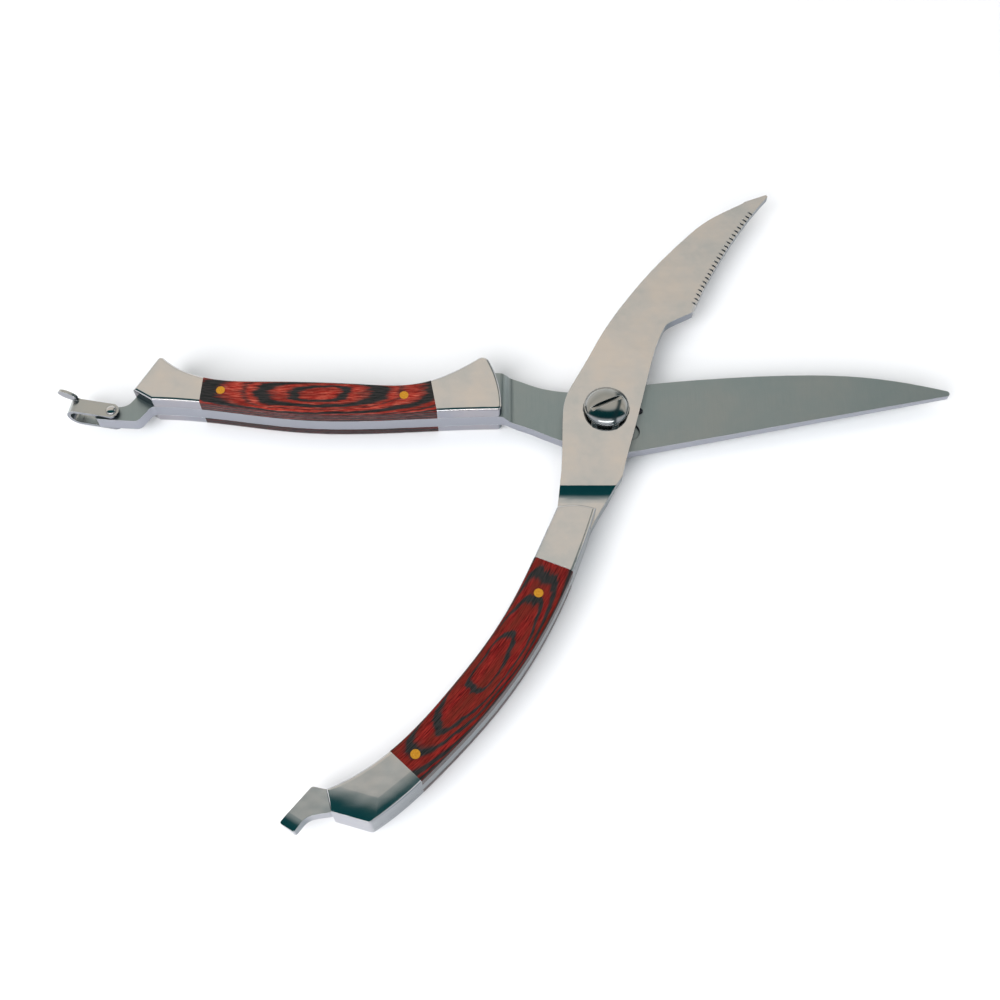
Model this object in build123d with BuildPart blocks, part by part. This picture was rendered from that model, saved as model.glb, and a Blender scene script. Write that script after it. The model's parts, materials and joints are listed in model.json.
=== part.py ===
from build123d import *
from math import cos, radians, sin
import os

# Poultry shears: two forged halves that cross at a pivot, with riveted grips and a latch clip.
# The origin is on the pivot axis, in the plane that the shears rest on. +X runs towards the plain
# blade's tip and +Z is up. Plan points of a half are measured from the pivot axis with the shears
# latched shut; the straight half stays there and the curved half is turned open.

os.makedirs("parts", exist_ok=True)

# ---- driving dimensions, in mm and degrees ----
grip_thickness = 13.2
tang_thickness = 4.6
blade_thickness = 3.4
blade_gap = 0.1
open_angle = 51.0
rim_radius = {"top": 1.0, "bottom": 2.0}
bolster_corner_radius = 1.5
grip_end_radius = 1.2
shoulder_corner_radius = 2.2
hook_root_radius = 1.0
hook_corner_radius = 0.6

plain_tip_thickness = 1.9
toothed_tip_thickness = 2.0
taper_start = 22.0
taper_end = 100.0
plain_edge_land = 1.2
toothed_edge_land = 2.3
tooth_count = 24
tooth_width = 0.55
tooth_slope = 30.0
tooth_mouth = 0.9
first_tooth = 0.17
last_tooth = 0.94

screw_head_radius = 6.6
screw_head_height = 2.8
screw_rim_height = 0.5
screw_shoulder = (4.4, 0.6)
screw_slot_width = 1.3
screw_slot_depth = 0.9
screw_slot_angle = 25.0
screw_rim_bulge = 0.25
screw_end = -6.2
shoulder_radius = 3.25
thread_radius = 2.5
ring_radius = 5.6
ring_thickness = 1.2
ring_lobes = 6
first_lobe_angle = -65.0
lobe_radius = 1.25
washer_radius = 5.6
washer_thickness = 0.6
nut_flats = 9.5
nut_chamfer = 0.5
running_gap = 0.05
spring_gap = 0.1

wire = 0.9
coil_radius = 5.0
coil_rise = 1.55
recess_radius = 5.9
recess_depth = 1.35
leg_reach = 10.0
leg_hole_radius = 1.2
leg_slot_width = wire + 0.3
leg_hook_length = 1.6
plain_leg_angle = 7.5
toothed_leg_angle = 150.0
toothed_leg_reach = 8.5

stop_radius = 7.6
stop_angle = -39.6
stop_pin_radius = 1.0
stop_pin_floor = 0.8
stop_pin_tip_gap = 0.25
stop_groove_depth = 1.5
stop_seat_radius = 3.0
stop_seat_depth = 0.7
stop_seat_offset = 8.95
squeeze_angle = 52.5

# cutting shapes run this far past the metal they cut: close by, and clear of the whole tool
overcut = 5.0
far_overcut = 160.0

# the plain half's step up from blade to tang, and the curved half's step down
plain_step_top = (-26.8, -31.3)
plain_step_bottom = (-25.0, -30.4)
curved_step_top = (-25.3, -30.4)
curved_step_bottom = (-25.8, -29.0)

# how far and how deep the curved half's rear end is rolled off, at its end, its belly and its hook
end_roll = (6.5, 0.5)
belly_roll = (3.5, 0.25)
hook_roll = (3.5, 0.3)

pin_radius = 1.3
dowel_radius = 1.25
dowel_length = 10.0

strap_width = 4.5
strap_thickness = 1.0
strap_gap = 0.3
fold_reach = 13.6
clip_angle = 170.0
tab_splay = 10.0
tab_root = 0.6
tab_reach = 7.6
tab_length = 6.2
tab_height = 3.4
tab_thickness = 0.9
rivet_radius = 1.1
rivet_head_radius = 1.55
rivet_head_height = 0.8
rivet_head_edge = (0.5, 0.55)

# ---- worked-out dimensions ----
mating_height = grip_thickness / 2
half_tang = tang_thickness / 2
half_gap = blade_gap / 2
cheek_thickness = (grip_thickness - tang_thickness) / 2
plain_underside = -half_gap - blade_thickness
toothed_top = half_gap + blade_thickness
toothed_tip_top = half_gap + toothed_tip_thickness
leg_fold_radius = half_tang + strap_gap + strap_thickness
washer_top = plain_underside
nut_top = washer_top - washer_thickness

# ---- places in plan ----
straight_front_joint = ((-51.3, 7.5), (-49.3, -3.0))
straight_front_corner = (-30.5, -2.0)
straight_rear_joint = ((-118.3, 9.0), (-118.7, -0.3))
curved_front_joint = ((-51.5, -14.3), (-48.4, -24.5))
curved_rear_joint = ((-117.5, -19.6), (-118.2, -29.9))
hook_end = ((-148.2, -8.4), (-147.6, -12.9))
curved_rear_end = ((-138.4, -17.7), (-134.4, -27.0))
curved_rear_belly = ((-134.4, -27.0), (-117.0, -30.4))
straight_pins = {"front": (-59.1, 2.8), "rear": (-112.8, 4.5)}
curved_pins = {"front": (-59.4, -21.5), "rear": (-114.0, -24.6)}
straight_dowels = [(-41.0, 4.5), (-127.0, 7.0)]
curved_dowels = [(-40.5, -16.0), (-127.5, -22.0)]
latch_pivot = (-144.9, -0.6)
leg_hole_place = (
    leg_reach * cos(radians(plain_leg_angle)),
    leg_reach * sin(radians(plain_leg_angle)),
)
stop_place = (stop_radius * cos(radians(stop_angle)), stop_radius * sin(radians(stop_angle)))
stop_seat_place = (
    stop_seat_offset * cos(radians(stop_angle)),
    stop_seat_offset * sin(radians(stop_angle)),
)


def straight_half(height=0.0):
    """Plan plane of the straight half, at a height above the plane where the blades meet."""
    return Plane.XY.offset(mating_height + height)


def curved_half(height=0.0):
    """Plan plane of the curved half, which is turned open about the pivot."""
    turn = radians(open_angle)
    return Plane(
        origin=(0, 0, mating_height + height), x_dir=(cos(turn), sin(turn), 0), z_dir=(0, 0, 1)
    )


def upright_hole(half, place, radius, low, high):
    """Upright round hole of a half, from one height to another."""
    with BuildSketch(half(low)) as hole:
        with Locations(place):
            Circle(radius)
    extrude(hole.sketch, amount=high - low, mode=Mode.SUBTRACT)


def bevel_along(edge, land, below):
    """Grinds a 45 degree bevel along a cutting edge, below or above the face where the blades meet,
    and leaves a square land there. The blade's body lies to the right of the edge's direction."""
    outward = Vector(0, 0, 1).cross(edge % 0)
    start = -land if below else land
    end = start - overcut if below else start + overcut
    with BuildSketch(Plane(origin=edge @ 0, x_dir=outward, z_dir=edge % 0)) as wedge:
        Polygon((0, start), (-overcut, end), (1, end), (1, start), align=None)
    sweep(wedge.sketch, path=edge, mode=Mode.SUBTRACT)


def joint_plane(half, joint):
    """Upright plane through a joint line of a half, facing the pivot end."""
    ends = [half().from_local_coords(Vector(*point)) for point in joint]
    return Plane(origin=ends[0], x_dir=(0, 0, 1), z_dir=Vector(0, 0, 1).cross(ends[1] - ends[0]))


def roll_off(half, edge, roll, top):
    """Rolls a face off towards an edge, given by two plan points with the body on the edge's left.
    roll is how far in the curve starts and how deep it ends; top is the face's height, above or below
    the plane where the blades meet."""
    reach, depth = roll
    drop = -depth if top > 0 else depth
    start, end = [half().from_local_coords(Vector(*point)) for point in edge]
    outward = (end - start).cross(Vector(0, 0, 1)).normalized()
    across = Plane(origin=start, x_dir=outward, z_dir=outward.cross(Vector(0, 0, 1)))
    with BuildSketch(across) as above:
        with BuildLine():
            TangentArc((-reach, top), (0, top + drop), tangent=(1, 0))
            Polyline((0, top + drop), (overcut, top + 2 * drop), (overcut, top - drop),
                     (-reach, top - drop), (-reach, top))
        make_face()
    extrude(above.sketch, amount=far_overcut, both=True, mode=Mode.SUBTRACT)


# ---- outlines that tang, scales and bolsters of a half share ----
with BuildSketch() as straight_grip:
    with BuildLine():
        Spline((-30.5, -2.0), (-49.5, -2.6), (-72, -3.6), (-90, -3.2), (-113, -0.3), (-132.7, 1.4))
        Line((-132.7, 1.4), (-138.5, 4.8))
        Line((-138.5, 4.8), (-131.9, 17.0))
        Spline((-131.9, 17.0), (-126, 12.4), (-118.5, 9.4), (-100, 7.9), (-72, 7.0),
               (-54, 7.5), (-45, 11.2), (-35.6, 17.4))
        ThreePointArc((-35.6, 17.4), (-31.7, 8.0), (-30.5, -2.0))
    make_face()
    fillet(vertices().sort_by_distance((-131.9, 17.0))[0], grip_end_radius)
    fillet(vertices().sort_by_distance((-35.6, 17.4))[0], shoulder_corner_radius)

with BuildSketch() as curved_grip:
    with BuildLine():
        Spline((-35.3, -9.2), (-50.5, -13.5), (-72, -18.5), (-95, -20.1), (-117, -18.9), (-134.8, -12.8))
        Line((-134.8, -12.8), (-138.4, -17.7))
        Line((-138.4, -17.7), (-134.4, -27.0))
        Spline((-134.4, -27.0), (-125, -29.3), (-110, -31.0), (-90, -31.7), (-70, -29.9),
               (-48.3, -24.8), (-29.0, -18.0))
        ThreePointArc((-29.0, -18.0), (-31.5, -13.1), (-35.3, -9.2))
    make_face()
    fillet(vertices().sort_by_distance((-134.4, -27.0))[0], grip_end_radius)


# ---- cutting edges of the two blades ----
with BuildLine() as plain_edge:
    Spline((13.2, 10.6), (35, 12.7), (60, 13.8), (80, 12.8), (102.3, 8.2),
           tangents=((1, 0.12), (1, -0.28)))

with BuildLine() as toothed_edge:
    Spline((96.6, 7.7), (88, 7.6), (76.6, 6.6), (62, 4.4), (50.7, 1.9), (44.5, 0.2))

# the stop pin's way through the curved half, from open to squeezed shut
stop_path = CenterArc((0, 0), stop_radius, stop_angle - open_angle, squeeze_angle + 1)


# ---- straight half: blade, shank, tang and tail in one forging ----
with BuildPart() as plain_blade:
    with BuildSketch(straight_half(plain_underside)):
        add(straight_grip.sketch)
        with BuildLine():
            Spline((-36, 13.2), (-28.5, 12.7), (-20, 9.5), (-8, 7.7), (13.2, 10.6),
                   tangents=((1, 0), (1, 0.12)))
            add(plain_edge.line)
            ThreePointArc((102.3, 8.2), (102.8, 7.2), (102.1, 6.5))
            Line((102.1, 6.5), (6.0, -12.7))
            Spline((6.0, -12.7), (-4, -11.9), (-18.5, -6.4), (-30.5, -2.0),
                   tangents=((-1, -0.2), (-1, 0.25)))
            Polyline((-30.5, -2.0), (-36, 1.0), (-36, 13.2))
        make_face()
        with BuildLine():
            Spline((-132.7, 1.4), (-134.6, 0.1), (-136.3, -2.4), (-138.4, -3.5),
                   tangents=((-1, -0.1), (-1, 0)))
            Line((-138.4, -3.5), (-149.0, -2.8))
            ThreePointArc((-149.0, -2.8), (-150.1, -0.8), (-149.0, 1.2))
            Spline((-149.0, 1.2), (-144.4, 1.2), (-140.8, 1.9), (-138.5, 4.8),
                   tangents=((1, 0), (0.5, 1)))
            Polyline((-138.5, 4.8), (-130, 9.0), (-129, 4.0), (-132.7, 1.4))
        make_face()
    extrude(amount=half_tang - plain_underside)
    with BuildSketch(Plane.XZ.shift_origin((0, 0, mating_height))):
        with BuildLine():
            Polyline((103.5, -half_gap), (plain_step_top[0], -half_gap))
            Spline((plain_step_top[0], -half_gap), (plain_step_top[1], half_tang),
                   tangents=((-1, 0), (-1, 0)))
            Polyline((plain_step_top[1], half_tang), (-151, half_tang), (-151, -half_tang),
                     (plain_step_bottom[1], -half_tang))
            Spline((plain_step_bottom[1], -half_tang), (plain_step_bottom[0], plain_underside),
                   tangents=((1, 0), (1, 0)))
            Polyline((plain_step_bottom[0], plain_underside), (18, plain_underside),
                     (103.5, -half_gap - plain_tip_thickness), (103.5, -half_gap))
        make_face()
    extrude(amount=far_overcut, both=True, mode=Mode.INTERSECT)
    bevel_along(straight_half() * plain_edge.line, plain_edge_land, below=True)
    # pivot hole, half of the spring's housing, and the slot and hole of the spring's leg
    upright_hole(straight_half, (0, 0), thread_radius, plain_underside, 0)
    upright_hole(straight_half, (0, 0), recess_radius, -half_gap - recess_depth, 0)
    upright_hole(straight_half, leg_hole_place, leg_hole_radius, plain_underside, 0)
    with BuildSketch(straight_half(-half_gap - recess_depth).rotated((0, 0, plain_leg_angle))):
        with Locations((leg_reach / 2, 0)):
            Rectangle(leg_reach, leg_slot_width)
    extrude(amount=recess_depth + half_gap, mode=Mode.SUBTRACT)
    # shallow seat around the stop pin, and the pin's hole
    upright_hole(straight_half, stop_seat_place, stop_seat_radius, -half_gap - stop_seat_depth, 0)
    upright_hole(straight_half, stop_place, stop_pin_radius, plain_underside + stop_pin_floor, 0)
    for place in straight_pins.values():
        upright_hole(straight_half, place, pin_radius, -half_tang, half_tang)
    for place in straight_dowels:
        upright_hole(straight_half, place, dowel_radius, -half_tang, half_tang)
    upright_hole(straight_half, latch_pivot, rivet_radius, -half_tang, half_tang)
plain_blade.part.label = "plain_blade"
export_step(plain_blade.part, "parts/plain_blade.step")

# ---- curved half: toothed blade, shank, tang and hook tab in one forging ----
with BuildPart() as serrated_blade:
    with BuildSketch(curved_half(-half_tang)):
        add(curved_grip.sketch)
        with BuildLine():
            add(toothed_edge.line)
            Spline((44.5, 0.2), (40.2, 2.0), (36.3, 3.5), (34.2, 3.6),
                   tangents=((-1, 0.35), (-1, -0.25)))
            Spline((34.2, 3.6), (25.7, 1.0), (13.0, -4.6), (-2.1, -11.3), (-14.9, -17.0),
                   tangents=((-1, -0.2), (-0.9, -0.44)))
            Spline((-14.9, -17.0), (-21, -17.7), (-36, -20.5), tangents=((-1, -0.1), (-1, -0.3)))
            Line((-36, -20.5), (-36, -9.3))
            Spline((-36, -9.3), (-31.9, -7.1), (-23.5, -1.7), (-12.5, 6.5),
                   tangents=((1, 0.35), (0.8, 0.6)))
            Spline((-12.5, 6.5), (-5.4, 11.1), (6.1, 13.9), (20, 16.8), (35, 18.6), (50, 19.2),
                   (66, 18.5), (80, 16.0), (90, 12.3), (97.1, 8.7), tangents=((0.8, 0.6), (1, -0.55)))
            ThreePointArc((97.1, 8.7), (97.2, 8.1), (96.6, 7.7))
        make_face()
        with BuildLine():
            Spline((-131, -15.5), (-134.0, -12.6), (-136.2, -8.6), tangents=((-1, 0.6), (-0.6, 1)))
            Line((-136.2, -8.6), (-148.2, -8.4))
            Line((-148.2, -8.4), (-147.6, -12.9))
            Spline((-147.6, -12.9), (-142.9, -13.0), (-138.6, -16.4), (-134, -19.0),
                   tangents=((1, 0), (1, -0.4)))
            Line((-134, -19.0), (-131, -15.5))
        make_face()
        fillet(vertices().sort_by_distance((-136.2, -8.6))[0], hook_root_radius)
        fillet(vertices().sort_by_distance((-148.2, -8.4))[0], hook_corner_radius)
        fillet(vertices().sort_by_distance((-147.6, -12.9))[0], hook_corner_radius)
    extrude(amount=half_tang + toothed_top)
    # the step runs square to the open pose's Y axis: crisp at its top, blended into the tang below
    with BuildSketch(Plane.YZ.shift_origin((0, 0, mating_height))):
        with BuildLine():
            Spline((curved_step_top[0], toothed_top), (curved_step_top[1], half_tang),
                   tangents=((-1, -0.5), (-1, 0)))
            Polyline((curved_step_top[1], half_tang), (-140, half_tang), (-140, -half_tang),
                     (curved_step_bottom[1], -half_tang), (curved_step_bottom[0], half_gap),
                     (100, half_gap), (100, toothed_top), (curved_step_top[0], toothed_top))
        make_face()
    extrude(amount=far_overcut, both=True, mode=Mode.INTERSECT)
    # the toothed blade thins towards its tip
    edge_on = Plane(origin=(0, 0, mating_height), x_dir=curved_half().x_dir,
                    z_dir=curved_half().x_dir.cross(Vector(0, 0, 1)))
    with BuildSketch(edge_on):
        Polygon((taper_start, toothed_top), (taper_end, toothed_tip_top), (taper_end, toothed_top + 1),
                (taper_start, toothed_top + 1), align=None)
    extrude(amount=far_overcut, both=True, mode=Mode.SUBTRACT)
    for top in (half_tang, -half_tang):
        roll_off(curved_half, hook_end, hook_roll, top)
    cutting_path = curved_half() * toothed_edge.line
    bevel_along(cutting_path, toothed_edge_land, below=False)
    # each tooth gap is a narrow slot whose floor rises from the edge to the blade's face
    slots = []
    for i in range(tooth_count):
        at = first_tooth + (last_tooth - first_tooth) * i / (tooth_count - 1)
        along_taper = ((toothed_edge.line @ at).X - taper_start) / (taper_end - taper_start)
        face_height = toothed_top + (toothed_tip_top - toothed_top) * along_taper
        inward = (cutting_path % at).cross(Vector(0, 0, 1)).normalized()
        slope = radians(tooth_slope)
        floor_normal = Vector(0, 0, 1) * cos(slope) - inward * sin(slope)
        slots.append(Plane(origin=cutting_path @ at + Vector(0, 0, face_height - tooth_mouth),
                           x_dir=cutting_path % at, z_dir=floor_normal))
    with Locations(*slots):
        Box(tooth_width, overcut, overcut, align=(Align.CENTER, Align.CENTER, Align.MIN),
            mode=Mode.SUBTRACT)
    # pivot hole, the other half of the spring's housing, and the slot and hole of the spring's leg
    upright_hole(curved_half, (0, 0), shoulder_radius + running_gap, 0, toothed_top)
    upright_hole(curved_half, (0, 0), recess_radius, 0, half_gap + recess_depth)
    with BuildSketch(curved_half().rotated((0, 0, toothed_leg_angle))) as leg_slot:
        with Locations((toothed_leg_reach / 2, 0)):
            SlotOverall(toothed_leg_reach + 2, leg_slot_width)
    extrude(leg_slot.sketch, amount=recess_depth + half_gap, mode=Mode.SUBTRACT)
    # arc groove that the stop pin runs in
    with BuildSketch(curved_half()) as stop_groove:
        SlotArc(stop_path, 2 * (stop_pin_radius + running_gap))
    extrude(stop_groove.sketch, amount=half_gap + stop_groove_depth, mode=Mode.SUBTRACT)
    for place in curved_pins.values():
        upright_hole(curved_half, place, pin_radius, -half_tang, half_tang)
    for place in curved_dowels:
        upright_hole(curved_half, place, dowel_radius, -half_tang, half_tang)
serrated_blade.part.label = "serrated_blade"
export_step(serrated_blade.part, "parts/serrated_blade.step")


# ---- bolsters and scales: a cheek layer on each side of the tang, parted at the two joint lines ----
def cheek_layer(half, outline, side, rim):
    """Whole cheek layer of a grip with its outer rim rounded. side is 1 above the tang and -1 below."""
    with BuildSketch(half(side * half_tang)) as shape:
        add(outline.sketch)
    extrude(shape.sketch, amount=side * cheek_thickness)
    if half is straight_half:
        corner = half().from_local_coords(Vector(*straight_front_corner))
        fillet(edges().filter_by(Axis.Z).sort_by_distance(corner)[0], bolster_corner_radius)
    outer = faces().sort_by(Axis.Z)[-1 if side > 0 else 0]
    fillet(outer.edges(), rim)


halves = {
    "straight": (straight_half, straight_grip, straight_front_joint, straight_rear_joint,
                 straight_pins, straight_dowels),
    "curved": (curved_half, curved_grip, curved_front_joint, curved_rear_joint,
               curved_pins, curved_dowels),
}
for name, (half, outline, front_joint, rear_joint, pins, dowels) in halves.items():
    front_cut = joint_plane(half, front_joint)
    rear_cut = joint_plane(half, rear_joint)
    for face, side in {"top": 1, "bottom": -1}.items():
        outer = side * grip_thickness / 2
        inner = side * half_tang
        with BuildPart() as front_bolster:
            cheek_layer(half, outline, side, rim_radius[face])
            split(bisect_by=front_cut, keep=Keep.TOP)
            upright_hole(half, dowels[0], dowel_radius, inner, side * dowel_length / 2)
        front_bolster.part.label = f"{name}_front_bolster_{face}"
        export_step(front_bolster.part, f"parts/{name}_front_bolster_{face}.step")

        with BuildPart() as scale:
            cheek_layer(half, outline, side, rim_radius[face])
            split(bisect_by=front_cut, keep=Keep.BOTTOM)
            split(bisect_by=rear_cut, keep=Keep.TOP)
            for place in pins.values():
                upright_hole(half, place, pin_radius, inner, outer)
        scale.part.label = f"{name}_scale_{face}"
        export_step(scale.part, f"parts/{name}_scale_{face}.step")

        with BuildPart() as rear_bolster:
            cheek_layer(half, outline, side, rim_radius[face])
            split(bisect_by=rear_cut, keep=Keep.BOTTOM)
            upright_hole(half, dowels[1], dowel_radius, inner, side * dowel_length / 2)
            if half is curved_half:
                roll_off(half, curved_rear_end, end_roll, outer)
                roll_off(half, curved_rear_belly, belly_roll, outer)
        rear_bolster.part.label = f"{name}_rear_bolster_{face}"
        export_step(rear_bolster.part, f"parts/{name}_rear_bolster_{face}.step")

    for end, place in pins.items():
        with BuildPart() as pin:
            with BuildSketch(half(-grip_thickness / 2)):
                with Locations(place):
                    Circle(pin_radius)
            extrude(amount=grip_thickness)
        pin.part.label = f"{name}_{end}_pin"
        export_step(pin.part, f"parts/{name}_{end}_pin.step")

    with BuildPart() as bolster_dowels:
        with BuildSketch(half(-dowel_length / 2)):
            with Locations(*dowels):
                Circle(dowel_radius)
        extrude(amount=dowel_length)
    bolster_dowels.part.label = f"{name}_bolster_dowels"
    export_step(bolster_dowels.part, f"parts/{name}_bolster_dowels.step")

# ---- pivot ----
ring_bottom = toothed_top + running_gap
head_bottom = ring_bottom + ring_thickness
head_top = head_bottom + screw_head_height
head_foot_radius = screw_head_radius - screw_rim_bulge
upright = Plane.XZ.shift_origin((0, 0, mating_height))

with BuildPart() as pivot_screw:
    with BuildSketch(upright):
        with BuildLine():
            Polyline((0, head_top), (0, screw_end), (thread_radius, screw_end),
                     (thread_radius, -half_gap), (shoulder_radius, -half_gap),
                     (shoulder_radius, head_bottom), (head_foot_radius, head_bottom))
            ThreePointArc((head_foot_radius, head_bottom),
                          (screw_head_radius, head_bottom + screw_rim_height / 2),
                          (head_foot_radius, head_bottom + screw_rim_height))
            Spline((head_foot_radius, head_bottom + screw_rim_height),
                   (screw_shoulder[0], head_top - screw_shoulder[1]), (0, head_top),
                   tangents=((-0.5, 0.8), (-1, 0)))
        make_face()
    revolve(axis=Axis.Z)
    with BuildSketch(straight_half(head_top - screw_slot_depth)):
        Rectangle(3 * screw_head_radius, screw_slot_width, rotation=screw_slot_angle)
    extrude(amount=screw_slot_depth + 1, mode=Mode.SUBTRACT)
pivot_screw.part.label = "pivot_screw"
export_step(pivot_screw.part, "parts/pivot_screw.step")

with BuildPart() as lock_ring:
    with BuildSketch(straight_half(ring_bottom)):
        Circle(ring_radius)
        with PolarLocations(ring_radius, ring_lobes, start_angle=first_lobe_angle):
            Circle(lobe_radius)
        Circle(shoulder_radius + running_gap, mode=Mode.SUBTRACT)
    extrude(amount=ring_thickness)
lock_ring.part.label = "lock_ring"
export_step(lock_ring.part, "parts/lock_ring.step")

with BuildPart() as pivot_washer:
    with BuildSketch(straight_half(nut_top)):
        Circle(washer_radius)
        Circle(thread_radius, mode=Mode.SUBTRACT)
    extrude(amount=washer_thickness)
pivot_washer.part.label = "pivot_washer"
export_step(pivot_washer.part, "parts/pivot_washer.step")

with BuildPart() as pivot_nut:
    with BuildSketch():
        RegularPolygon(nut_flats / 2, 6, major_radius=False)
        Circle(thread_radius, mode=Mode.SUBTRACT)
    extrude(amount=mating_height + nut_top)
    chamfer(faces().sort_by(Axis.Z)[0].edges().filter_by(GeomType.LINE), nut_chamfer)
pivot_nut.part.label = "pivot_nut"
export_step(pivot_nut.part, "parts/pivot_nut.step")

with BuildPart() as stop_pin:
    with BuildSketch(straight_half(plain_underside + stop_pin_floor)):
        with Locations(stop_place):
            Circle(stop_pin_radius)
    extrude(amount=stop_groove_depth - stop_pin_tip_gap - plain_underside - stop_pin_floor)
stop_pin.part.label = "stop_pin"
export_step(stop_pin.part, "parts/stop_pin.step")

# torsion spring: the coil lies in both housings, one leg in each blade's slot
spring_bottom = -half_gap - recess_depth + spring_gap + wire / 2
turns = (toothed_leg_angle + open_angle - plain_leg_angle) / 360 + 1
lower_end = straight_half(spring_bottom).rotated((0, 0, plain_leg_angle))
upper_end = straight_half(spring_bottom + coil_rise).rotated((0, 0, toothed_leg_angle + open_angle))
legs = {
    "lower": Plane(origin=lower_end.from_local_coords((coil_radius, 0)), z_dir=lower_end.x_dir),
    "upper": Plane(origin=upper_end.from_local_coords((coil_radius, 0)), z_dir=upper_end.x_dir),
}
hook = Plane(origin=lower_end.from_local_coords((leg_reach, 0)), z_dir=(0, 0, -1))
coil = lower_end * Helix(pitch=coil_rise / turns, height=coil_rise, radius=coil_radius)
with BuildPart() as torsion_spring:
    with BuildSketch(Plane(origin=coil @ 0, z_dir=coil % 0)):
        Circle(wire / 2)
    sweep(path=coil)
    with Locations(*legs.values(), hook):
        Sphere(wire / 2)
    with Locations(legs["lower"]):
        Cylinder(wire / 2, leg_reach - coil_radius, align=(Align.CENTER, Align.CENTER, Align.MIN))
    with Locations(legs["upper"]):
        Cylinder(wire / 2, toothed_leg_reach - coil_radius,
                 align=(Align.CENTER, Align.CENTER, Align.MIN))
    with Locations(hook):
        Cylinder(wire / 2, leg_hook_length, align=(Align.CENTER, Align.CENTER, Align.MIN))
torsion_spring.part.label = "torsion_spring"
export_step(torsion_spring.part, "parts/torsion_spring.step")

# ---- latch: a strap folded round the tail, with a thumb tab standing on its back edge ----
clip_heading = Vector(cos(radians(clip_angle)), sin(radians(clip_angle)), 0)
clip_origin = straight_half().from_local_coords(latch_pivot)
clip_plan = Plane(origin=clip_origin, x_dir=clip_heading, z_dir=(0, 0, 1))
clip_side = Plane(origin=clip_origin, x_dir=clip_heading, z_dir=clip_heading.cross(Vector(0, 0, 1)))
fold_centre = fold_reach - leg_fold_radius
inner_fold_radius = leg_fold_radius - strap_thickness

with BuildPart() as latch_clip:
    with BuildSketch(clip_side):
        with Locations((fold_centre, 0)):
            Circle(leg_fold_radius)
        with Locations((fold_centre / 2 - strap_width / 4, 0)):
            Rectangle(fold_centre + strap_width / 2, 2 * leg_fold_radius)
        with Locations((fold_centre, 0)):
            Circle(inner_fold_radius, mode=Mode.SUBTRACT)
        with Locations((fold_centre / 2 - strap_width / 4, 0)):
            Rectangle(fold_centre + strap_width / 2, 2 * inner_fold_radius, mode=Mode.SUBTRACT)
    extrude(amount=strap_width / 2, both=True)
    with BuildSketch(clip_plan):
        Circle(strap_width / 2)
        with Locations((fold_reach / 2, 0)):
            Rectangle(fold_reach, strap_width)
        Circle(rivet_radius + running_gap, mode=Mode.SUBTRACT)
    extrude(amount=2 * leg_fold_radius, both=True, mode=Mode.INTERSECT)
    tab_heading = clip_heading.rotate(Axis.Z, -tab_splay)
    tab_origin = clip_plan.from_local_coords(
        (fold_centre - tab_root, strap_thickness / 2 - strap_width / 2, 0)
    )
    tab_plane = Plane(
        origin=tab_origin, x_dir=tab_heading, z_dir=tab_heading.cross(Vector(0, 0, 1))
    )
    with BuildSketch(tab_plane):
        with Locations((tab_reach - tab_length / 2, inner_fold_radius + tab_height / 2)):
            Ellipse(tab_length / 2, tab_height / 2)
        with Locations((tab_reach / 4, leg_fold_radius - strap_thickness / 2)):
            Rectangle(tab_reach / 2, strap_thickness)
    extrude(amount=tab_thickness / 2, both=True)
latch_clip.part.label = "latch_clip"
export_step(latch_clip.part, "parts/latch_clip.step")

head_base = leg_fold_radius + running_gap
with BuildPart() as latch_rivet:
    with BuildSketch(Plane(origin=clip_origin, x_dir=(1, 0, 0), z_dir=(0, -1, 0))):
        with BuildLine():
            Spline((0, head_base + rivet_head_height),
                   (rivet_head_radius - rivet_head_edge[0], head_base + rivet_head_edge[1]),
                   (rivet_head_radius, head_base), tangents=((1, 0), (0.3, -1)))
            Polyline((rivet_head_radius, head_base), (rivet_radius, head_base),
                     (rivet_radius, 0), (0, 0), (0, head_base + rivet_head_height))
        make_face()
    revolve(axis=Axis(clip_origin, (0, 0, 1)))
    mirror(about=straight_half())
latch_rivet.part.label = "latch_rivet"
export_step(latch_rivet.part, "parts/latch_rivet.step")
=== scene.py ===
import bpy
import json
from math import cos, pi, radians, sin
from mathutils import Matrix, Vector

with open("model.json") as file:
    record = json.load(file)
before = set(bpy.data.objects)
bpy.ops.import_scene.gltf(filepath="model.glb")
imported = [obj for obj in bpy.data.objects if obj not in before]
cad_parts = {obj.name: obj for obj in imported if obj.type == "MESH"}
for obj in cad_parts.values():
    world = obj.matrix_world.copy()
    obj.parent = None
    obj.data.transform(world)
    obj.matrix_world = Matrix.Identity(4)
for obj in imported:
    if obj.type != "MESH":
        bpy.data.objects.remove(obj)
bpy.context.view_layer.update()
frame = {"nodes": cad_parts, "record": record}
nodes = frame["nodes"]
scene = bpy.context.scene
scene.view_settings.view_transform = "Standard"

MM = 0.001
MATING_HEIGHT = 6.6     # mm above the floor, where the two blades meet; half the thickness of a grip
EDGE_BREAK = 0.18 * MM  # how far sharp steel edges look rounded
CREVICE_REACH = 1.2 * MM

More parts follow.
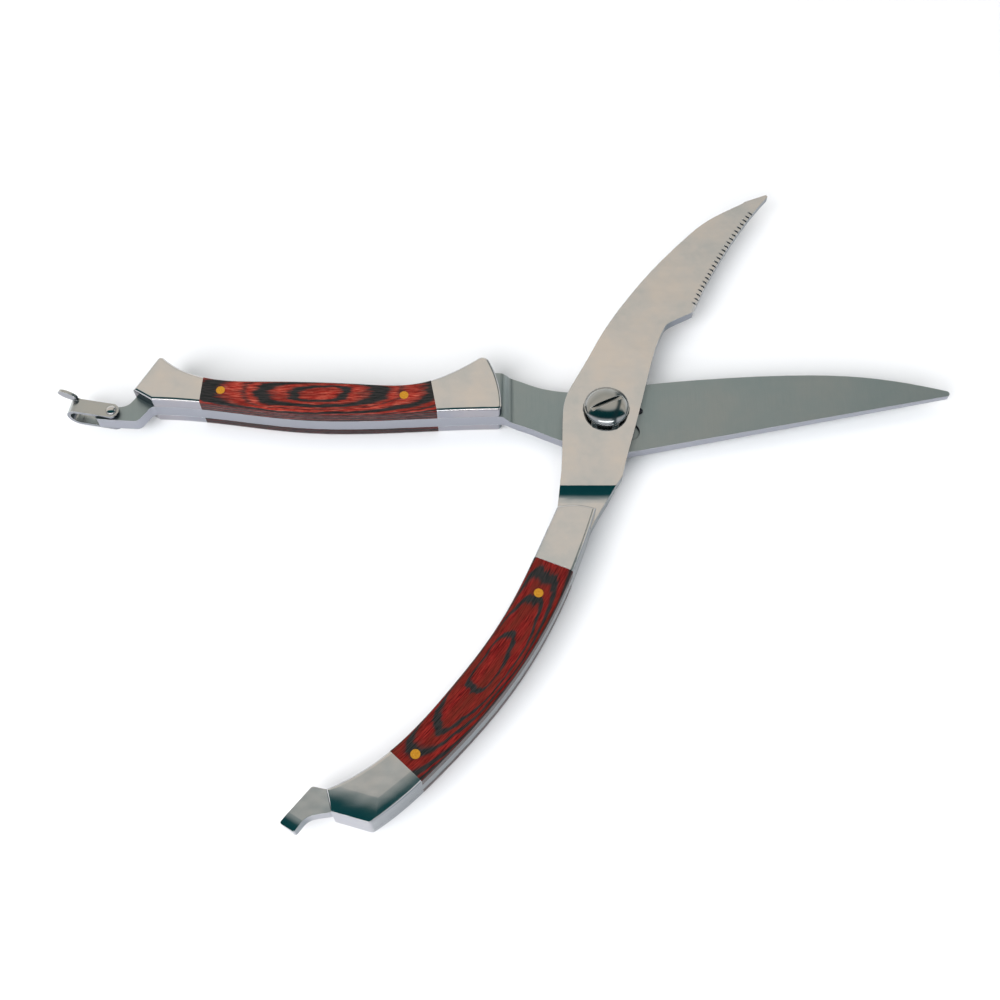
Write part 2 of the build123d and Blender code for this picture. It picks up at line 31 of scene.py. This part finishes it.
# darkest and lightest value of the noise that drives a tint, with the tints between them
POLISHED_TINTS = [(0.34, (0.54, 0.56, 0.56)), (0.50, (0.61, 0.60, 0.585)),
                  (0.66, (0.665, 0.625, 0.585))]
SATIN_TINTS = [(0.34, (0.33, 0.40, 0.41)), (0.52, (0.375, 0.43, 0.435)), (0.68, (0.42, 0.455, 0.45))]
DARK_TINTS = [(0.3, (0.20, 0.22, 0.225)), (0.7, (0.42, 0.43, 0.42))]
BRASS_TINTS = [(0.3, (0.46, 0.19, 0.010)), (0.55, (0.60, 0.28, 0.020)), (0.75, (0.72, 0.38, 0.05))]
BLACK_TINTS = [(0.35, (0.006, 0.009, 0.009)), (0.7, (0.030, 0.026, 0.026))]
WALL_PAINTED_SHADE = (0.60, 0.60, 0.68)        # painted shade on polished side walls, against the faces
FRONT_WALL_PAINTED_SHADE = (0.28, 0.36, 0.38)  # and darker painted shade on those that face the tips' end
# painted shade on the side walls of the wood: darker and greyer red
WOOD_WALL_PAINTED_SHADE = (0.42, 0.75, 1.1)


# ---------------------------------------------------------------- node helpers
class Tree:
    """A short way to write node trees: every call makes a node and links or sets its inputs."""

    def __init__(self, tree):
        self.tree = tree
        tree.nodes.clear()

    def add(self, kind, inputs=None, **settings):
        node = self.tree.nodes.new(kind)
        for key, value in settings.items():
            setattr(node, key, value)
        for key, value in (inputs or {}).items():
            socket = node.inputs[key]
            if isinstance(value, bpy.types.NodeSocket):
                self.tree.links.new(value, socket)
            else:
                socket.default_value = value
        return node

    def math(self, operation, *values, clamp=False):
        node = self.add("ShaderNodeMath", dict(enumerate(values)), operation=operation, use_clamp=clamp)
        return node.outputs[0]

    def ramp(self, value, stops, interpolation="LINEAR"):
        node = self.add("ShaderNodeValToRGB", {"Fac": value})
        node.color_ramp.interpolation = interpolation
        elements = node.color_ramp.elements
        while len(elements) < len(stops):
            elements.new(0.5)
        for element, (position, colour) in zip(elements, stops):
            element.position = position
            element.color = (*colour, 1.0) if len(colour) == 3 else colour
        return node.outputs["Color"]

    def mix(self, factor, a, b, blend="MIX"):
        node = self.add("ShaderNodeMix", data_type="RGBA", blend_type=blend)
        for socket, value in ((node.inputs[0], factor), (node.inputs[6], a), (node.inputs[7], b)):
            if isinstance(value, bpy.types.NodeSocket):
                self.tree.links.new(value, socket)
            elif isinstance(value, tuple):
                socket.default_value = (*value, 1.0)[:4]
            else:
                socket.default_value = value
        return node.outputs[2]

    def noise(self, vector, scale, detail=2.0, roughness=0.5, distortion=0.0):
        return self.add("ShaderNodeTexNoise", {"Vector": vector, "Scale": scale, "Detail": detail,
                        "Roughness": roughness, "Distortion": distortion}).outputs["Fac"]

    def mapped(self, vector, location=(0, 0, 0), rotation=(0, 0, 0), scale=(1, 1, 1)):
        return self.add("ShaderNodeMapping", {"Vector": vector, "Location": location,
                        "Rotation": rotation, "Scale": scale}).outputs[0]


def material(name):
    made = bpy.data.materials.new(name)
    made.use_nodes = True
    return made, Tree(made.node_tree)


def principled(tree, inputs):
    shader = tree.add("ShaderNodeBsdfPrincipled", inputs)
    tree.add("ShaderNodeOutputMaterial", {"Surface": shader.outputs[0]})
    return shader


def millimetres(t, turn=0.0):
    """Object coordinates in mm, turned about the pivot axis so that a grip lies along X."""
    return t.mapped(t.add("ShaderNodeTexCoord").outputs["Object"], rotation=(0, 0, radians(-turn)),
                    scale=(1000, 1000, 1000))


def rounded_normal(t, radius):
    """A surface normal with the sharp edges broken, and a mask of where that happens."""
    rounded = t.add("ShaderNodeBevel", {"Radius": radius}, samples=4).outputs[0]
    flat = t.add("ShaderNodeNewGeometry").outputs["Normal"]
    alike = t.add("ShaderNodeVectorMath", {0: rounded, 1: flat}, operation="DOT_PRODUCT")
    unlike = t.math("SUBTRACT", 1.0, alike.outputs["Value"])
    return rounded, t.math("MULTIPLY", unlike, 12.0, clamp=True)


def mapped_range(t, value, low, high):
    """0 at and beyond low, 1 at and beyond high."""
    node = t.add("ShaderNodeMapRange", {"Value": value, "From Min": low, "From Max": high})
    return node.outputs[0]


def walls(t):
    """Masks for painted shade: the upright side walls of a piece, and those that face the tips' end."""
    normal = t.add("ShaderNodeTexCoord").outputs["Normal"]
    facing = t.add("ShaderNodeSeparateXYZ", {"Vector": normal}).outputs
    upright = mapped_range(t, t.math("ABSOLUTE", facing["Z"]), 0.75, 0.35)
    return upright, t.math("MULTIPLY", upright, mapped_range(t, facing["X"], 0.25, 0.70))


def crevices(t, reach):
    """A mask for painted shade: 1 deep in slots and under heads, 0 on open surfaces."""
    occlusion = t.add("ShaderNodeAmbientOcclusion", {"Distance": reach}, samples=6, only_local=True)
    open_share = mapped_range(t, occlusion.outputs["AO"], 0.35, 0.85)
    return t.math("SUBTRACT", 1.0, open_share, clamp=True)


def bumped(t, height, distance, normal):
    inputs = {"Height": height, "Distance": distance, "Normal": normal}
    return t.add("ShaderNodeBump", inputs).outputs[0]


def shaded(t, mask, colour, shade):
    """The colour, multiplied by a painted shade where the mask says so."""
    return t.mix(mask, colour, t.mix(1.0, colour, shade, "MULTIPLY"))


def polished_steel(name, tone=(1.0, 1.0, 1.0), added_haze=0.0):
    """Mirror-polished steel with faint cloudy patches and hairlines, painted shade on its side walls
    and in its grooves, rougher grooves, and a painted highlight along its edges."""
    made, t = material(name)
    place = millimetres(t)
    cloud = t.noise(place, 0.07, detail=4.0, roughness=0.6)
    along_hairlines = t.mapped(place, rotation=(0, 0, 0.7), scale=(0.12, 7.0, 7.0))
    hairline = t.noise(along_hairlines, 1.0, detail=2.0)
    along_wipes = t.mapped(place, rotation=(0, 0, -0.4), scale=(0.05, 0.5, 0.5))
    wipe = t.noise(along_wipes, 1.0, detail=3.0)
    normal, edge = rounded_normal(t, EDGE_BREAK)
    crevice_shade = crevices(t, CREVICE_REACH)
    tint = t.ramp(cloud, POLISHED_TINTS)
    tint = t.mix(t.math("MULTIPLY", wipe, 0.16), tint, (0.42, 0.48, 0.50))
    tint = t.mix(1.0, tint, tone, "MULTIPLY")
    side, front = walls(t)
    # painted shade: side walls darker, those facing the tips' end darker and tealer
    tint = shaded(t, side, tint, WALL_PAINTED_SHADE)
    tint = shaded(t, front, tint, FRONT_WALL_PAINTED_SHADE)
    # painted highlight: the base colour turns light grey along the broken edges
    tint = t.mix(edge, tint, (0.80, 0.80, 0.80))
    # painted shade: the colour goes nearly black in slots and under heads
    tint = t.mix(crevice_shade, tint, (0.02, 0.05, 0.055))
    rough = t.math("MULTIPLY_ADD", cloud, 0.10, t.math("MULTIPLY", hairline, 0.10))
    rough = t.math("ADD", rough, t.math("MULTIPLY_ADD", crevice_shade, 0.25, added_haze), clamp=True)
    wave = t.math("ADD", t.noise(place, 0.16, detail=1.0), t.math("MULTIPLY", hairline, 0.004))
    principled(t, {"Base Color": tint, "Metallic": 1.0, "Roughness": rough,
                   "Normal": bumped(t, wave, 0.09 * MM, normal)})
    return made


def satin_steel():
    """Steel ground across the blade in fine even lines, with cloudy patches, a painted bluer reflection
    tone on its side walls, painted shade in its grooves and a painted highlight along its edges.
    """
    made, t = material("satin_steel")
    place = millimetres(t)
    line = t.noise(t.mapped(place, scale=(5.0, 0.10, 0.6)), 1.0, detail=3.0, roughness=0.7)
    cloud = t.noise(place, 0.05, detail=4.0, roughness=0.6)
    normal, edge = rounded_normal(t, EDGE_BREAK)
    crevice_shade = crevices(t, CREVICE_REACH)
    tint = t.ramp(cloud, SATIN_TINTS)
    tint = t.mix(t.math("MULTIPLY", line, 0.35), tint, (0.24, 0.31, 0.32))
    # painted reflection tone: the side walls turn a pale blue-grey
    tint = t.mix(walls(t)[0], tint, (0.37, 0.38, 0.425))
    # painted highlight: the base colour turns light grey along the broken edges
    tint = t.mix(edge, tint, (0.70, 0.72, 0.72))
    # painted shade: the colour goes nearly black in slots and under heads
    tint = t.mix(crevice_shade, tint, (0.02, 0.04, 0.04))
    rough = t.math("MULTIPLY_ADD", line, 0.16, t.math("MULTIPLY_ADD", cloud, 0.10, 0.27))
    principled(t, {"Base Color": tint, "Metallic": 1.0, "Roughness": rough,
                   "Normal": bumped(t, line, 0.006 * MM, normal)})
    return made


def dark_steel():
    """Oiled spring steel, grey, with a painted highlight along its broken edges."""
    made, t = material("dark_steel")
    place = millimetres(t)
    cloud = t.noise(place, 0.5, detail=5.0, roughness=0.7)
    normal, edge = rounded_normal(t, 0.12 * MM)
    tint = t.ramp(cloud, DARK_TINTS)
    # painted highlight: the base colour turns light grey along the broken edges
    tint = t.mix(edge, tint, (0.60, 0.60, 0.58))
    rough = t.math("MULTIPLY_ADD", cloud, 0.25, 0.18)
    principled(t, {"Base Color": tint, "Metallic": 1.0, "Roughness": rough,
                   "Normal": bumped(t, cloud, 0.02 * MM, normal)})
    return made


def brass():
    """Pin ends dressed flush with the wood: scuffed, with a little tarnish at the rim."""
    made, t = material("brass")
    place = millimetres(t)
    scuff = t.noise(place, 2.2, detail=4.0, roughness=0.7)
    normal, edge = rounded_normal(t, 0.12 * MM)
    tint = t.ramp(scuff, BRASS_TINTS)
    tint = t.mix(edge, tint, (0.50, 0.20, 0.02))
    rough = t.math("MULTIPLY_ADD", scuff, 0.25, 0.25)
    principled(t, {"Base Color": tint, "Metallic": 0.55, "Roughness": rough,
                   "Normal": bumped(t, scuff, 0.02 * MM, normal)})
    return made


LOOP_COUNT = 12.0


def layered_wood(name, turn, centre, bend, ring, bands, reds, feathering, seed):
    """Resin-bonded wood: stained veneers bent into bowls, so that the dressed face cuts them as
    nested loops and the sides show them as lines. centre is the loops' middle in a grip's own plan,
    bend its centre line's slope and curvature, ring the first loop's half length and half width,
    bands the dark veneers as (loop number, thickness inwards, thickness outwards, strength), reds
    the dark, middle, light and stained tints, and feathering how ragged the loops' edges are."""
    made, t = material(name)
    place = millimetres(t, turn)
    split = t.add("ShaderNodeSeparateXYZ", {"Vector": place}).outputs
    along = t.math("SUBTRACT", split["X"], centre[0])
    centre_line = t.math("MULTIPLY", along, t.math("MULTIPLY_ADD", along, bend[1], bend[0]))
    across = t.math("SUBTRACT", t.math("SUBTRACT", split["Y"], centre[1]), centre_line)
    from_middle = t.math("ABSOLUTE", t.math("SUBTRACT", split["Z"], MATING_HEIGHT))
    depth = t.math("SUBTRACT", MATING_HEIGHT, from_middle)

    def grain(along_scale, across_scale, shift, detail=3.0):
        stretched = {
            "X": t.math("MULTIPLY", along, along_scale),
            "Y": t.math("MULTIPLY", across, across_scale),
            "Z": t.math("MULTIPLY_ADD", depth, across_scale, seed + shift),
        }
        shape = t.add("ShaderNodeCombineXYZ", stretched).outputs[0]
        return t.noise(shape, 1.0, detail=detail, roughness=0.6)

    drift = t.math("SUBTRACT", grain(0.05, 0.16, 0.0, detail=1.0), 0.5)
    swell = t.math("SUBTRACT", grain(0.10, 0.30, 7.3, detail=2.0), 0.5)
    feather = t.math("SUBTRACT", grain(0.18, 3.2, 3.1), 0.5)
    long_way = t.math("DIVIDE", t.math("MULTIPLY_ADD", drift, 9.0, along), ring[0])
    drifted = t.math("ABSOLUTE", t.math("MULTIPLY_ADD", drift, 1.6, across))
    short_way = t.math("DIVIDE", drifted, ring[1])
    loop = t.math("ADD", t.math("POWER", t.math("ABSOLUTE", long_way), 2.0),
                  t.math("POWER", short_way, 3.0))
    loop = t.math("SQRT", loop)
    loop = t.math("MULTIPLY_ADD", swell, 0.9, loop)
    loop = t.math("MULTIPLY_ADD", feather, feathering, loop)
    loop = t.math("MULTIPLY_ADD", depth, 1.15, loop)

    stops = [(0.0, (0, 0, 0))]
    for number, inwards, outwards, strength in bands:
        stops += [((number - inwards) / LOOP_COUNT, (0, 0, 0)),
                  (number / LOOP_COUNT, (strength,) * 3),
                  ((number + outwards) / LOOP_COUNT, (0, 0, 0))]
    dark = t.ramp(t.math("DIVIDE", loop, LOOP_COUNT), stops, "EASE")
    dark = t.math("MULTIPLY", dark, 1.6, clamp=True)

    fibre = grain(0.30, 4.5, 11.7, detail=4.0)
    stain = grain(0.07, 0.45, 5.9, detail=3.0)
    red = t.ramp(fibre, [(0.34, reds[0]), (0.50, reds[1]), (0.66, reds[2])])
    stained = t.ramp(stain, [(0.40, (0, 0, 0)), (0.65, (0.75, 0.75, 0.75))])
    red = t.mix(stained, red, reds[3])
    pore = grain(0.5, 9.0, 23.0, detail=1.0)
    pore = t.ramp(pore, [(0.60, (0, 0, 0)), (0.72, (0.65, 0.65, 0.65))])
    red = t.mix(pore, red, (0.05, 0.008, 0.006))
    # painted shade: the side walls of the wood turn darker and greyer
    red = shaded(t, walls(t)[0], red, WOOD_WALL_PAINTED_SHADE)
    black = t.ramp(fibre, BLACK_TINTS)
    normal, edge = rounded_normal(t, 0.15 * MM)
    colour = t.mix(dark, red, black)
    colour = t.mix(t.math("MULTIPLY", edge, 0.5), colour, (0.02, 0.008, 0.008))
    rough = t.math("MULTIPLY_ADD", fibre, 0.16, 0.20)
    height = t.math("SUBTRACT", fibre, t.math("MULTIPLY", pore, 0.8))
    principled(t, {"Base Color": colour, "Roughness": rough, "IOR": 1.45,
                   "Specular IOR Level": 0.16, "Normal": bumped(t, height, 0.012 * MM, normal)})
    return made


BRIGHT_REDS = [(0.10, 0.004, 0.003), (0.30, 0.020, 0.012), (0.48, 0.11, 0.07), (0.12, 0.012, 0.008)]
DEEP_REDS = [(0.045, 0.001, 0.001), (0.155, 0.005, 0.005), (0.24, 0.018, 0.012), (0.085, 0.012, 0.006)]
STRAIGHT_BANDS = [(1.0, 0.40, 0.35, 1.0), (2.3, 0.85, 0.65, 1.0), (3.2, 0.22, 0.25, 0.5),
                  (4.5, 0.85, 0.75, 1.0), (5.7, 0.30, 0.35, 0.6), (6.7, 0.45, 0.55, 1.0),
                  (7.9, 0.50, 0.55, 1.0), (9.2, 0.6, 0.6, 1.0), (10.5, 0.5, 0.5, 1.0)]
CURVED_BANDS = [(1.0, 0.26, 0.20, 1.0), (2.47, 0.30, 0.24, 1.0), (3.45, 0.40, 0.35, 0.95),
                (4.9, 0.75, 0.70, 1.0), (6.1, 0.6, 0.6, 1.0), (7.2, 0.5, 0.6, 0.97),
                (8.3, 0.5, 0.7, 1.0), (9.7, 0.7, 0.8, 1.0)]
STRAIGHT_GRIP = {"turn": 0.0, "centre": (-83.5, 3.3), "bend": (0.0, 0.0014), "ring": (7.4, 2.5)}
CURVED_GRIP = {"turn": 51.0, "centre": (-83.0, -24.4), "bend": (0.055, 0.0028), "ring": (8.7, 2.7)}

# each scale has its own figure: material, grip, bands, reds, feathering and seed
WOODS = {
    "straight_scale_top": ("layered_wood_1", STRAIGHT_GRIP, STRAIGHT_BANDS, BRIGHT_REDS, 0.8, 2.0),
    "straight_scale_bottom": ("layered_wood_2", STRAIGHT_GRIP, CURVED_BANDS, DEEP_REDS, 0.4, 31.0),
    "curved_scale_top": ("layered_wood_3", CURVED_GRIP, CURVED_BANDS, DEEP_REDS, 0.3, 57.0),
    "curved_scale_bottom": ("layered_wood_4", CURVED_GRIP, STRAIGHT_BANDS, DEEP_REDS, 0.5, 83.0),
}
own_finishes = {}
for node, (name, grip, bands, reds, feathering, seed) in WOODS.items():
    own_finishes[node] = layered_wood(name, **grip, bands=bands, reds=reds, feathering=feathering,
                                      seed=seed)
finishes = {"polished_steel": polished_steel("polished_steel"), "satin_steel": satin_steel(),
            "brass": brass(), "dark_steel": dark_steel()}
own_finishes["latch_clip"] = polished_steel("strip_steel", tone=(0.72, 0.76, 0.76), added_haze=0.10)
own_finishes["pivot_screw"] = polished_steel("turned_steel", tone=(0.62, 0.64, 0.63), added_haze=0.04)
slots = {row["node"]: row["material_slot"] for row in frame["record"]["subparts"]}
for name, obj in nodes.items():
    obj.data.materials.clear()
    finish = own_finishes[name] if name in own_finishes else finishes[slots[name]]
    obj.data.materials.append(finish)


# ---------------------------------------------------------------- floor, light and camera
FLOOR_SIZE = 6.0
# studio colours by angle around the X axis: 0 at the +Y horizon, 0.5 overhead, 1 at the -Y horizon
STUDIO = [(0.0, (1.0, 0.98, 0.96)), (0.25, (0.70, 0.67, 0.62)), (0.32, (0.86, 0.80, 0.73)),
          (0.37, (0.85, 0.80, 0.74)), (0.415, (0.66, 0.65, 0.62)), (0.435, (0.31, 0.36, 0.36)),
          (0.48, (0.006, 0.07, 0.08)), (0.70, (0.004, 0.05, 0.06)), (0.80, (0.9, 0.9, 0.95)),
          (1.0, (1.0, 1.0, 1.05))]
# a dark screen stands on the +X side: how much of it shows, by how far the view leans towards +X
SIDE_SCREEN = [(0.30, (0, 0, 0)), (0.46, (0.9, 0.9, 0.9)), (0.62, (0.9, 0.9, 0.9)), (0.72, (0, 0, 0))]
SIDE_SCREEN_COLOUR = (0.02, 0.06, 0.07)

LENS = 46.8
SENSOR_WIDTH = 36.0
CAMERA_TILT = radians(63.0)
CAMERA_DISTANCE = 371.0 * MM
CAMERA_TARGET = Vector((-31.1, -28.2, 6.6)) * MM


def floor():
    bpy.ops.mesh.primitive_plane_add(size=FLOOR_SIZE, location=(0, 0, 0))
    made = bpy.context.active_object
    made.name = "floor"
    finish, t = material("floor_white")
    principled(t, {"Base Color": (0.90, 0.90, 0.92, 1), "Roughness": 0.9})
    made.data.materials.append(finish)


def studio_world():
    world = bpy.data.worlds.new("studio")
    scene.world = world
    world.use_nodes = True
    t = Tree(world.node_tree)
    direction = t.add("ShaderNodeTexCoord").outputs["Generated"]
    split = t.add("ShaderNodeSeparateXYZ", {"Vector": direction})
    turn = t.math("ARCTAN2", split.outputs["Z"], split.outputs["Y"])
    sky = t.ramp(t.math("DIVIDE", turn, pi), STUDIO)
    colour = t.mix(t.ramp(split.outputs["X"], SIDE_SCREEN), sky, SIDE_SCREEN_COLOUR)
    background = t.add("ShaderNodeBackground", {"Color": colour, "Strength": 1.0})
    t.add("ShaderNodeOutputWorld", {"Surface": background.outputs[0]})


def soft_light(name, place, target, size, power, glossy):
    """A soft box that faces its target. glossy says whether polished metal mirrors it."""
    data = bpy.data.lights.new(name, "AREA")
    data.shape = "RECTANGLE"
    data.size, data.size_y = size
    data.energy = power
    lamp = bpy.data.objects.new(name, data)
    scene.collection.objects.link(lamp)
    lamp.location = place
    lamp.rotation_euler = (Vector(target) - Vector(place)).to_track_quat("-Z", "Y").to_euler()
    lamp.visible_glossy = glossy


def camera():
    data = bpy.data.cameras.new("camera")
    data.sensor_width = SENSOR_WIDTH
    data.lens = LENS
    made = bpy.data.objects.new("camera", data)
    scene.collection.objects.link(made)
    back = Vector((0, -cos(CAMERA_TILT), sin(CAMERA_TILT)))
    made.location = CAMERA_TARGET + CAMERA_DISTANCE * back
    made.rotation_euler = (radians(90) - CAMERA_TILT, 0, 0)
    scene.camera = made


floor()
studio_world()
soft_light("overhead", (0, 0.1, 1.2), (0, 0, 0), (1.6, 1.6), 6.5, False)
soft_light("key", (-0.7, -0.8, 0.9), (-0.03, -0.03, 0), (1.0, 1.0), 19.0, False)
soft_light("strip", (-0.03, -0.9, 0.46), (-0.03, -0.03, 0), (1.2, 0.10), 2.0, True)
camera()
